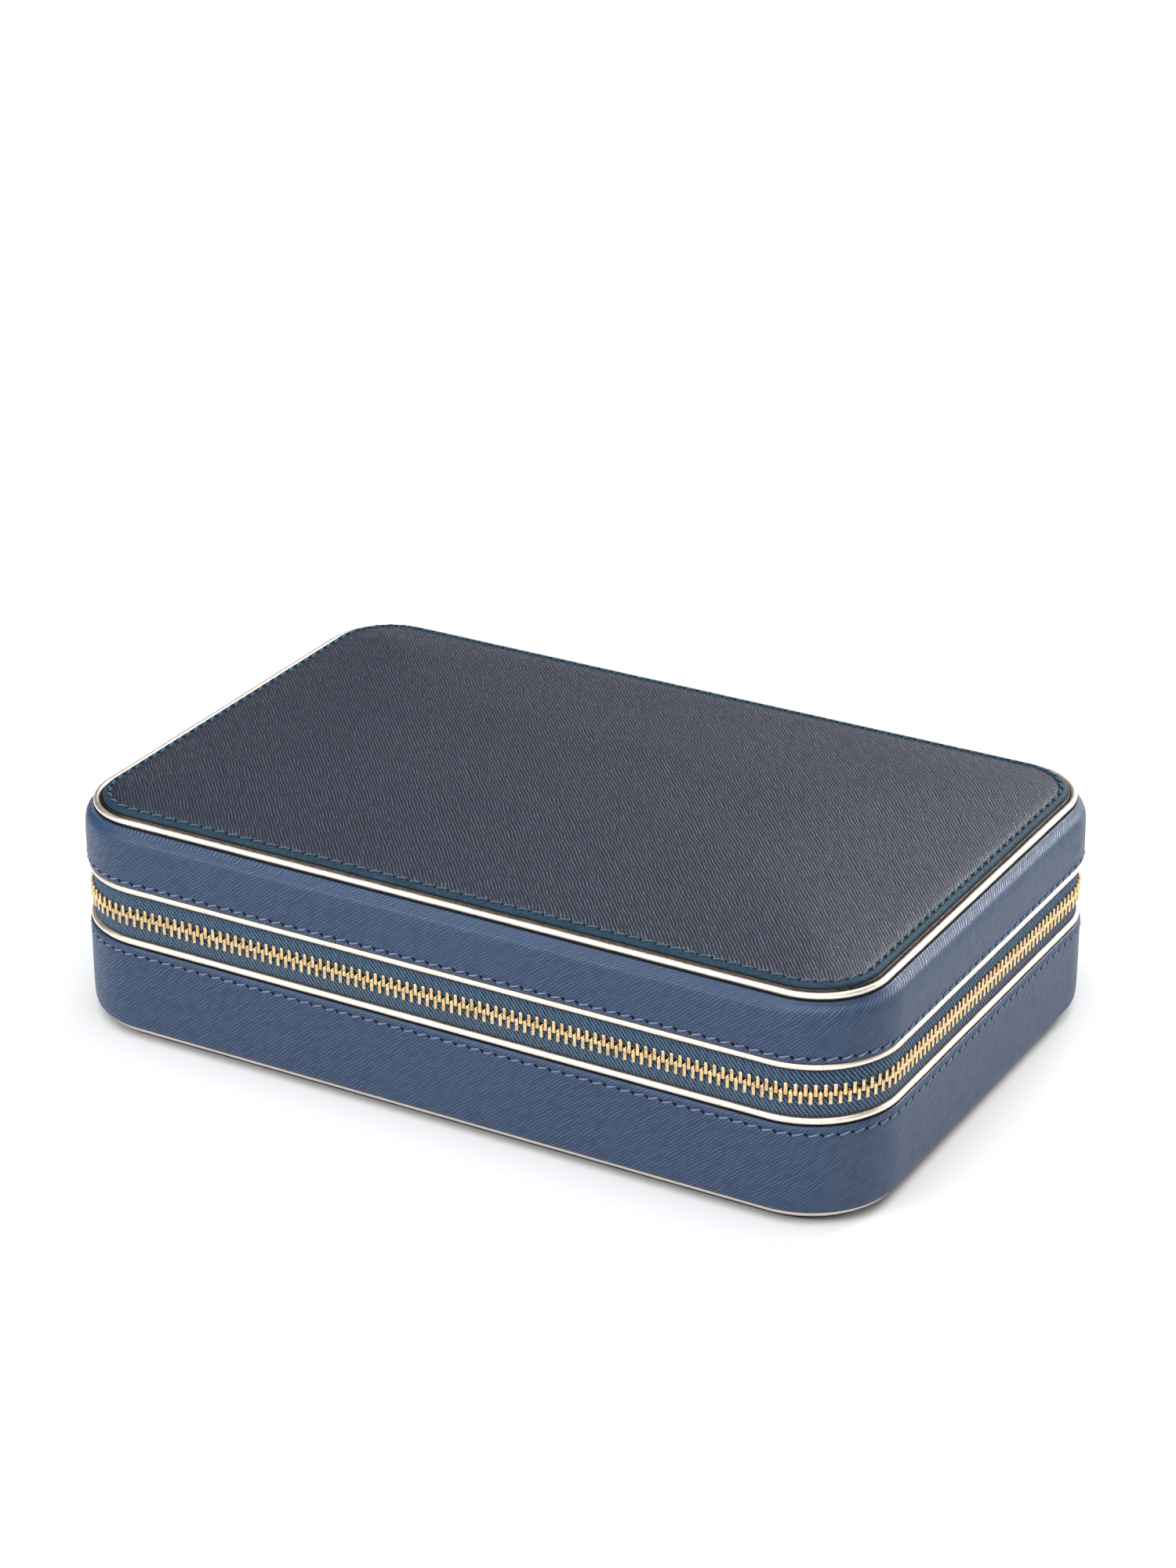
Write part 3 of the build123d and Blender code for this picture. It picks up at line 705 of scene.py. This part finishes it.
def make_crown():
    """Padded middle of the top, swelling from the stitched rim over the foam."""
    half = HALF + Vector((CROWN_OFFSET, CROWN_OFFSET))
    corner = TOP_CORNER + CROWN_OFFSET
    x, y = rounded_grid(half, corner, [0, 0.3, 0.7, 1.3, 2.1, 3.2, 4.8, 7.0, 9.5, 12.5], 2.5)
    inset = inset_of(x, y, half, corner)
    start = PANEL_RIM_Z - 0.75
    away = 1 - np.minimum(inset / CROWN_REACH, 1)
    z = start + 0.7 * (1 - np.exp(-inset / 0.9)) + 2.45 * (1 - away ** 2.6)
    crown = padded_sheet("top_panel_crown", x, y, z, TOP_LEATHER)
    swell(crown, (inset < 6.0).ravel(), 2.0, 0.8)
    skin_depth = crown.modifiers.new("skin", "SOLIDIFY")
    skin_depth.thickness = 0.8 * MM
    skin_depth.offset = -1
    smooth = crown.modifiers.new("smooth", "SUBSURF")
    smooth.levels = smooth.render_levels = 1
    finished(crown)
    rest(crown, "lid", "leather_top", "lid_top_panel")


# ---------------------------------------------------------------- stitches

def stitch_shape(pitch):
    """One stitch: thread that rises from a hole, lies on the leather a little aslant and dips again."""
    sides, shares = 7, np.linspace(0.15, 0.85, 9)
    turns = np.arange(sides) * 2 * pi / sides
    points = []
    for share in shares:
        height = -0.50 + 0.60 * sin(pi * (share - 0.12) / 0.76) ** 0.4
        slant = 0.62 * (2 * share - 1)
        reach = THREAD_R * (0.75 + 0.25 * sin(pi * share))
        points += [
            ((share - 0.5) * pitch, height + reach * cos(t), slant + reach * sin(t)) for t in turns]
    faces = []
    for k in range(len(shares) - 1):
        for s in range(sides):
            near, far = k * sides, (k + 1) * sides
            s2 = (s + 1) % sides
            faces.append([near + s, near + s2, far + s2, far + s])
    faces += [list(range(sides))[::-1], [len(points) - sides + s for s in range(sides)]]
    return np.array(points), faces


def hole_shape():
    """Slit that a needle leaves, drawn out along its slant. It stands a little proud, as a flat dome."""
    sides, slant = 12, radians(-50)
    rings, points = ((1.0, 0.0), (0.72, 0.05)), []
    for scale, height in rings:
        for t in np.arange(sides) * 2 * pi / sides:
            long, short = 0.68 * scale * cos(t), 0.33 * scale * sin(t)
            points.append((long * cos(slant) - short * sin(slant), height,
                           long * sin(slant) + short * cos(slant)))
    faces = [[s, (s + 1) % sides, sides + (s + 1) % sides, sides + s] for s in range(sides)]
    faces += [[sides + s for s in range(sides)], list(range(sides))[::-1]]
    return np.array(points), faces


def make_stitches(name, body, offset, z, corner, material, upward=False):
    """A row of stitches and needle holes, the holes near-black as painted shade. upward lays them on a
    level surface instead of a wall.
    """
    length = perimeter(offset, corner)
    count = round(length / STITCH_PITCH)
    pitch = length / count
    # The holes get the near-black material: painted shade where the thread dips into the leather.
    for part, shape, start, look in (("", stitch_shape(pitch), 0.5, material),
                                     ("_painted_hole_shade", hole_shape(), 0.0, NEEDLE_HOLE_SHADE)):
        points, faces = shape
        if upward:
            points = points[:, [0, 2, 1]] * np.array([1, -1, 1])
        at = stations((np.arange(count) + start) * pitch, offset, corner)
        row = scatter(name + part, (points, faces), at, offset, z, corner, look)
        row.data.polygons.foreach_set("use_smooth", [True] * len(row.data.polygons))
        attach(row, body)


# ---------------------------------------------------------------- zip

def make_tape(name, up):
    """Half of the zip tape with its sewing edge. up is 1 on the base and -1 on the lid."""
    rim = (BASE_RIM_Z - ZIP_Z) * up
    section = [(-0.15, rim + 0.9 * up), (-0.15, -1.5 * up), (-0.25, -1.05 * up), (-0.65, -1.05 * up),
               (-0.75, -1.5 * up), (-0.75, rim + 1.7 * up), (-1.8, rim + 0.9 * up), (-1.8, rim - 0.9 * up),
               (-1.0, rim - 0.9 * up), (-1.0, rim + 0.5 * up)]
    section = section if up > 0 else section[::-1]
    length = perimeter(0)
    start = TAPE_END_X
    at = stations(np.arange(start, length - start + 0.1, 1.2))
    rings = [ring(at, offset, ZIP_Z + z) for offset, z in section]
    rest(loft(name + "_twill", rings, at, TAPE, wrap=False), "base" if up > 0 else "lid", "zip_tape", name)


def tooth_shape():
    """Tooth with its head up: a bar bent round the tape's edge, with a nub that meets the next row."""
    outer_jaw = bevelled_box((-0.5, 0.34, -2.9), (0.5, 1.2, -0.55), 0.22)
    inner_jaw = bevelled_box((-0.5, -1.2, -2.9), (0.5, -0.34, -0.55), 0.22)
    head = bevelled_box((-0.54, -1.2, -0.95), (0.54, 1.2, 0.62), 0.24)
    nub = bevelled_box((-0.24, -0.5, 0.4), (0.24, 0.5, 0.80), 0.1)
    return joined(outer_jaw, inner_jaw, head, nub)


def chain_ends():
    """First and last place of the chain, as distances from the middle of the front."""
    x, y = straights(CORNER, HALF)
    radius = CORNER + CHAIN_OFFSET
    turn = radius * pi / 2
    return -(x + turn + y + SLIDER_Y), x + turn + 2 * y + radius * radians(CHAIN_END_ANGLE)


def make_teeth(name, up):
    left, right = chain_ends()
    shift = 0.0 if up > 0 else 0.5
    places = np.arange(np.ceil(left / TOOTH_PITCH - shift), np.floor(right / TOOTH_PITCH - shift) + 1)
    runs = (places + shift) * TOOTH_PITCH + perimeter(CHAIN_OFFSET) / 2
    at = stations(runs, CHAIN_OFFSET)
    teeth = scatter(name + "_brass", tooth_shape(), at, CHAIN_OFFSET, ZIP_Z, CORNER, BRASS, turned=up < 0)
    rest(teeth, "base" if up > 0 else "lid", "zip_metal", name)


def make_stops(name, up):
    """Clips on the tape past both ends of the chain."""
    left, right = chain_ends()
    slider_half = (box("zip_slider")[1].y - box("zip_slider")[0].y) / 2
    places = [left - slider_half - STOP_WIDTH, right + STOP_WIDTH / 2 + TOOTH_PITCH / 2]
    at = stations(np.array(places) + perimeter(CHAIN_OFFSET) / 2, CHAIN_OFFSET)
    half = STOP_WIDTH / 2
    clip = joined(
        bevelled_box((-half, 0.33, -4.4), (half, 1.2, -0.7), 0.25),
        bevelled_box((-half, -1.2, -4.4), (half, -0.33, -0.7), 0.25),
        bevelled_box((-half, -1.0, -1.0), (half, 1.0, -0.72), 0.08),
    )
    stops = scatter(name + "_brass", clip, at, CHAIN_OFFSET, ZIP_Z, CORNER, BRASS, turned=up < 0)
    rest(stops, "base" if up > 0 else "lid", "zip_metal", name)


def make_spine():
    """Leather hinge strip across the rear, in one piece from the base to the lid."""
    low, high = box("spine_lower")[0], box("spine_upper")[1]
    rows = np.arange(low.z, high.z + 0.01, 0.55)
    bow = 0.12 * np.sin((rows - low.z) / (high.z - low.z) * pi)
    section = [(high.y + b, z) for b, z in zip(bow, rows)]
    section += [(low.y, z) for z in rows[::-1]]
    x = np.linspace(high.x, low.x, 98)
    at = SimpleNamespace(run=high.x - x, length=high.x - low.x)
    rings = [np.stack([x, 0 * x + y, 0 * x + z], axis=1) for y, z in section]
    spine = loft("spine_leather", rings, at, SIDE_LEATHER, wrap=False)
    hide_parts("spine_lower", "spine_upper")
    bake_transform(spine)


def dress_slider():
    """The slider and its pull keep their CAD shapes, with their edges eased."""
    for node, ease in (("zip_slider", 0.22), ("zip_pull_link", 0.05), ("zip_pull_tab", 0.2)):
        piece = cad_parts[node]
        piece.data.materials.clear()
        piece.data.materials.append(PULL_BRASS)
        bevel = piece.modifiers.new("eased", "BEVEL")
        bevel.width = ease * MM
        bevel.segments = 2
        bevel.limit_method = "ANGLE"
        bevel.angle_limit = radians(40)


# ---------------------------------------------------------------- inside

def make_collar():
    low, high = box("base_collar")
    outer, inner, top = -3.1, -4.7, high.z
    line = [(outer, low.z), (outer, top - 0.8), (outer - 0.25, top - 0.15), (outer - 0.8, top),
            (inner + 0.25, top - 0.15), (inner, top - 0.8), (inner, low.z)]
    at = even_stations(outer, step=2.0)
    rings = [ring(at, offset, z, corner) for offset, z, corner in rows_along(soften(line), 1.0)]
    rest(loft("base_collar_suede", rings, at, SUEDE), "base", "suede", "base_collar")


def make_tub_lining(node, body, line):
    at = even_stations(-3.0, step=3.0)
    rings = [ring(at, *row) for row in rows_along(soften(line, 2), 1.2)]
    lining = loft(node + "_suede", rings, at, SUEDE, loop=False)
    rest(lining, body, "suede", node)


def make_linings():
    make_tub_lining("base_lining", "base", [
        (-4.0, 5.0), (-2.0, 7.0), (-2.0, 29.2), (-2.2, 29.6), (-2.8, 29.6), (-3.0, 29.2), (-3.0, 8.1),
        (-5.0, 6.1)])
    make_tub_lining("lid_lining", "lid", [
        (-6.4, 60.2, TOP_CORNER), (-4.7, 58.6), (-4.7, 47.0), (-4.2, 46.25), (-2.4, 46.25), (-1.9, 47.0),
        (-1.9, 59.9), (-4.7, 62.7, TOP_CORNER)])


def make_floor_pad():
    """Padded floor, held down under the dividers and puffed up between them."""
    low, high = box("base_floor_pad")
    half = Vector(high.xy)
    corner = CORNER - (HALF.x - half.x)
    x, y = rounded_grid(half, corner, [0, 0.5, 1.2, 2.2, 3.6, 5.4], 2.0)
    free = inset_of(x, y, half, corner) - 1.7
    for node in DIVIDERS + RING_ROLLS:
        pressed, lifted = box(node)
        beside = np.maximum.reduce([pressed.x - x, x - lifted.x, pressed.y - y, y - lifted.y])
        free = np.minimum(free, beside)
    puff = 0.55 * (1 - np.exp(-np.maximum(free, 0) / 4.0))
    pad = padded_sheet("base_floor_pad_suede", x, y, high.z - 0.04 + puff, SUEDE)
    swell(pad, (free < 0.8).ravel(), 1.5, 0.6)
    depth = pad.modifiers.new("depth", "SOLIDIFY")
    depth.thickness = 2.0 * MM
    depth.offset = -1
    finished(pad)
    rest(pad, "base", "suede", "base_floor_pad")


def soft_copy(node, voxel, slack, pressure):
    """Padded copy of a CAD solid: remeshed, drawn in a little, swelled by simulation and smoothed."""
    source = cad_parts[node]
    piece = bpy.data.objects.new(node + "_suede", source.data.copy())
    bpy.context.scene.collection.objects.link(piece)
    piece.data.materials.clear()
    remesh = piece.modifiers.new("even", "REMESH")
    remesh.mode = "VOXEL"
    remesh.voxel_size = voxel * MM
    smooth = piece.modifiers.new("round", "SMOOTH")
    smooth.iterations = 6
    draw_in = piece.modifiers.new("slack", "DISPLACE")
    draw_in.strength = -slack * MM
    draw_in.mid_level = 0.0
    finished(piece)
    heights = np.array([v.co.z for v in piece.data.vertices]) / MM
    swell(piece, heights < heights.min() + voxel, pressure, slack * 1.1, frames=10)
    piece.modifiers.new("fine", "SUBSURF").levels = 1
    finished(piece)
    piece.data.materials.append(SUEDE)
    rest(piece, "base", "suede", node)


def make_mirror_frame():
    """Padded roll of suede round the mirror."""
    low, high = box("lid_mirror_frame")
    inner = box("lid_mirror")[1]
    width = high.x - inner.x - 0.3
    half = Vector(high.xy)
    corner = 19.0
    arch = [
        (-width * share, high.z - 2.6 * sin(pi * share) ** 0.55 - 0.1) for share in np.linspace(0, 1, 15)]
    at = even_stations(0.0, corner, half, step=2.0)
    rings = [ring(at, offset, z, corner) for offset, z in arch[::-1]]
    frame_roll = loft("lid_mirror_frame_suede", rings, at, SUEDE)
    rest(frame_roll, "lid", "suede", "lid_mirror_frame")


DIVIDERS = [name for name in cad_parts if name.startswith("divider")]
RING_ROLLS = [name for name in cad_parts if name.startswith("ring_roll")]


def dress_nodes():
    """CAD nodes that stay as they are, with their materials."""
    for node, material in (("base_board", BOARD), ("lid_board", BOARD), ("lid_foam", FOAM),
                           ("lid_mirror", MIRROR)):
        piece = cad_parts[node]
        piece.data.materials.clear()
        piece.data.materials.append(material)


# ---------------------------------------------------------------- studio

# Radiance of the studio's ceiling, of its front wall and of its other walls near the floor
SKY = 4.3
FRONT = 0.85
WALL = 0.50
# How much sooner the ceiling starts in front than behind
CEILING_LEAN = -0.26


LIGHT_DISTANCE = 1.6


def facing(azimuth, elevation):
    """Direction from the case towards an azimuth and elevation. Azimuth 0 is in front."""
    a, e = radians(azimuth), radians(elevation)
    return Vector((sin(a) * cos(e), -cos(a) * cos(e), sin(e)))


def add_camera():
    azimuth, elevation, distance = 29.386, 24.987, 1.1346
    back = facing(azimuth, elevation)
    right = Vector((cos(radians(azimuth)), sin(radians(azimuth)), 0))
    up = back.cross(right)
    target = Vector((0, 0, 0.0322)) + right * 0.0006 + up * 0.0330
    camera = bpy.data.cameras.new("camera")
    camera.lens = 92.2
    camera.sensor_width = 36.0
    camera.clip_start = 0.01
    holder = bpy.data.objects.new("camera", camera)
    holder.location = target + back * distance
    holder.rotation_mode = "QUATERNION"
    holder.rotation_quaternion = (-back).to_track_quat("-Z", "Y")
    bpy.context.scene.collection.objects.link(holder)
    bpy.context.scene.camera = holder


def add_light(name, azimuth, elevation, width, height, power):
    """Softbox that faces the case."""
    light = bpy.data.lights.new(name, "AREA")
    light.shape = "RECTANGLE"
    light.size, light.size_y = width, height
    light.energy = power
    holder = bpy.data.objects.new(name, light)
    away = facing(azimuth, elevation)
    holder.location = away * LIGHT_DISTANCE
    holder.rotation_mode = "QUATERNION"
    holder.rotation_quaternion = away.to_track_quat("Z", "Y")
    bpy.context.scene.collection.objects.link(holder)


class SkyNodes:
    """The world's node tree, with short ways to add to it."""

    def __init__(self, world):
        world.use_nodes = True
        self.nodes = world.node_tree.nodes
        self.links = world.node_tree.links

    def step(self, source, *limits):
        """Smooth step while the source goes from one limit to the next, between two results."""
        made = self.nodes.new("ShaderNodeMapRange")
        made.interpolation_type = "SMOOTHSTEP"
        self.links.new(source, made.inputs[0])
        for socket, value in zip(list(made.inputs)[1:5], limits):
            socket.default_value = value
        return made.outputs[0]

    def maths(self, operation, *values):
        made = self.nodes.new("ShaderNodeMath")
        made.operation = operation
        for socket, value in zip(made.inputs, values):
            if isinstance(value, float):
                socket.default_value = value
            else:
                self.links.new(value, socket)
        return made.outputs[0]


def add_sky():
    """Bright ceiling, more of it in front, a white front wall and dimmer ones behind, lighter to the
    right. Each depends on the direction's parts: x to the right, y to the rear and z up."""
    world = bpy.data.worlds.new("studio")
    sky = SkyNodes(world)
    parts = sky.nodes.new("ShaderNodeSeparateXYZ")
    sky.links.new(sky.nodes.new("ShaderNodeTexCoord").outputs["Generated"], parts.inputs[0])
    x, y, z = parts.outputs
    ceiling = sky.step(sky.maths("MULTIPLY_ADD", y, CEILING_LEAN, z), 0.80, 0.97, 0.0, SKY)
    low = sky.step(z, 0.40, 0.64, WALL, WALL * 0.1)
    glow = sky.maths("MULTIPLY", low, sky.step(y, 0.1, 0.5, 0.35, 1.0))
    to_right = sky.step(x, -0.52, -0.10, 0.35, 2.8)
    front = sky.maths("MULTIPLY", sky.step(y, -0.55, 0.0, FRONT, 0.0), sky.step(z, 0.35, 0.62, 1.0, 0.0))
    walls = sky.maths("ADD", front, sky.maths("MULTIPLY", glow, to_right))
    background = sky.nodes["Background"]
    background.inputs["Color"].default_value = (0.975, 0.985, 1.0, 1.0)
    sky.links.new(sky.maths("ADD", ceiling, walls), background.inputs["Strength"])
    bpy.context.scene.world = world


def add_studio():
    add_light("front_left_panel", -33, 31, 0.4, 0.16, 8)
    add_light("right_panel", 158, 32, 0.5, 0.26, 14)
    add_light("rear_panel", 186, 46, 0.4, 0.25, 3)
    add_sky()
    bpy.context.scene.view_settings.view_transform = "Standard"
    reach = 3000.0
    corners = [(-reach, -reach, 0), (reach, -reach, 0), (reach, reach, 0), (-reach, reach, 0)]
    floor = add_mesh("floor", corners, [[0, 1, 2, 3]], FLOOR)


# ---------------------------------------------------------------- the case

make_base_band()
make_lid_band()
make_base_panel()
make_piping("base_bottom_piping", "base", CORNER, SHADED_FOOT_PIPING)
make_piping("base_rim_piping", "base", CORNER)
make_piping("lid_rim_piping", "lid", CORNER)
make_piping("lid_top_piping", "lid", TOP_CORNER)
# These two seam strips are near-black: painted shadows in the gaps beside the pipings.
make_seam("base_rim_seam_shadow", "base", [(0.5, 29.25), (0.35, 29.75), (-0.6, 29.85)])
make_seam("lid_top_seam_shadow", "lid", [(-2.1, 64.45), (-2.6, 64.75), (-3.1, 64.75)], TOP_CORNER)
make_seam("top_panel_edge", "lid",
          [(-4.15, 65.0), (-4.3, PANEL_EDGE_Z - 0.35), (-4.95, PANEL_EDGE_Z - 0.2)], TOP_CORNER, CUT_EDGE)
make_panel_rim()
make_crown()
make_stitches("base_stitches", "base", 1.1, BASE_STITCH_Z, CORNER, SIDE_THREAD)
make_stitches("lid_stitches", "lid", 1.2, LID_STITCH_Z, CORNER, SIDE_THREAD)
make_stitches("top_panel_stitches", "lid", TOP_STITCH_OFFSET, PANEL_RIM_Z - 0.1, TOP_CORNER, TOP_THREAD,
              upward=True)
for half_name, side in (("lower", 1), ("upper", -1)):
    make_tape("zip_tape_" + half_name, side)
    make_teeth("zip_teeth_" + half_name, side)
    make_stops("zip_stops_" + half_name, side)
make_spine()
dress_slider()
make_collar()
make_linings()
make_floor_pad()
for padded_node in DIVIDERS:
    soft_copy(padded_node, 1.0, 0.3, 1.0)
for padded_node in RING_ROLLS:
    soft_copy(padded_node, 1.6, 0.5, 1.5)
make_mirror_frame()
dress_nodes()
add_camera()
add_studio()
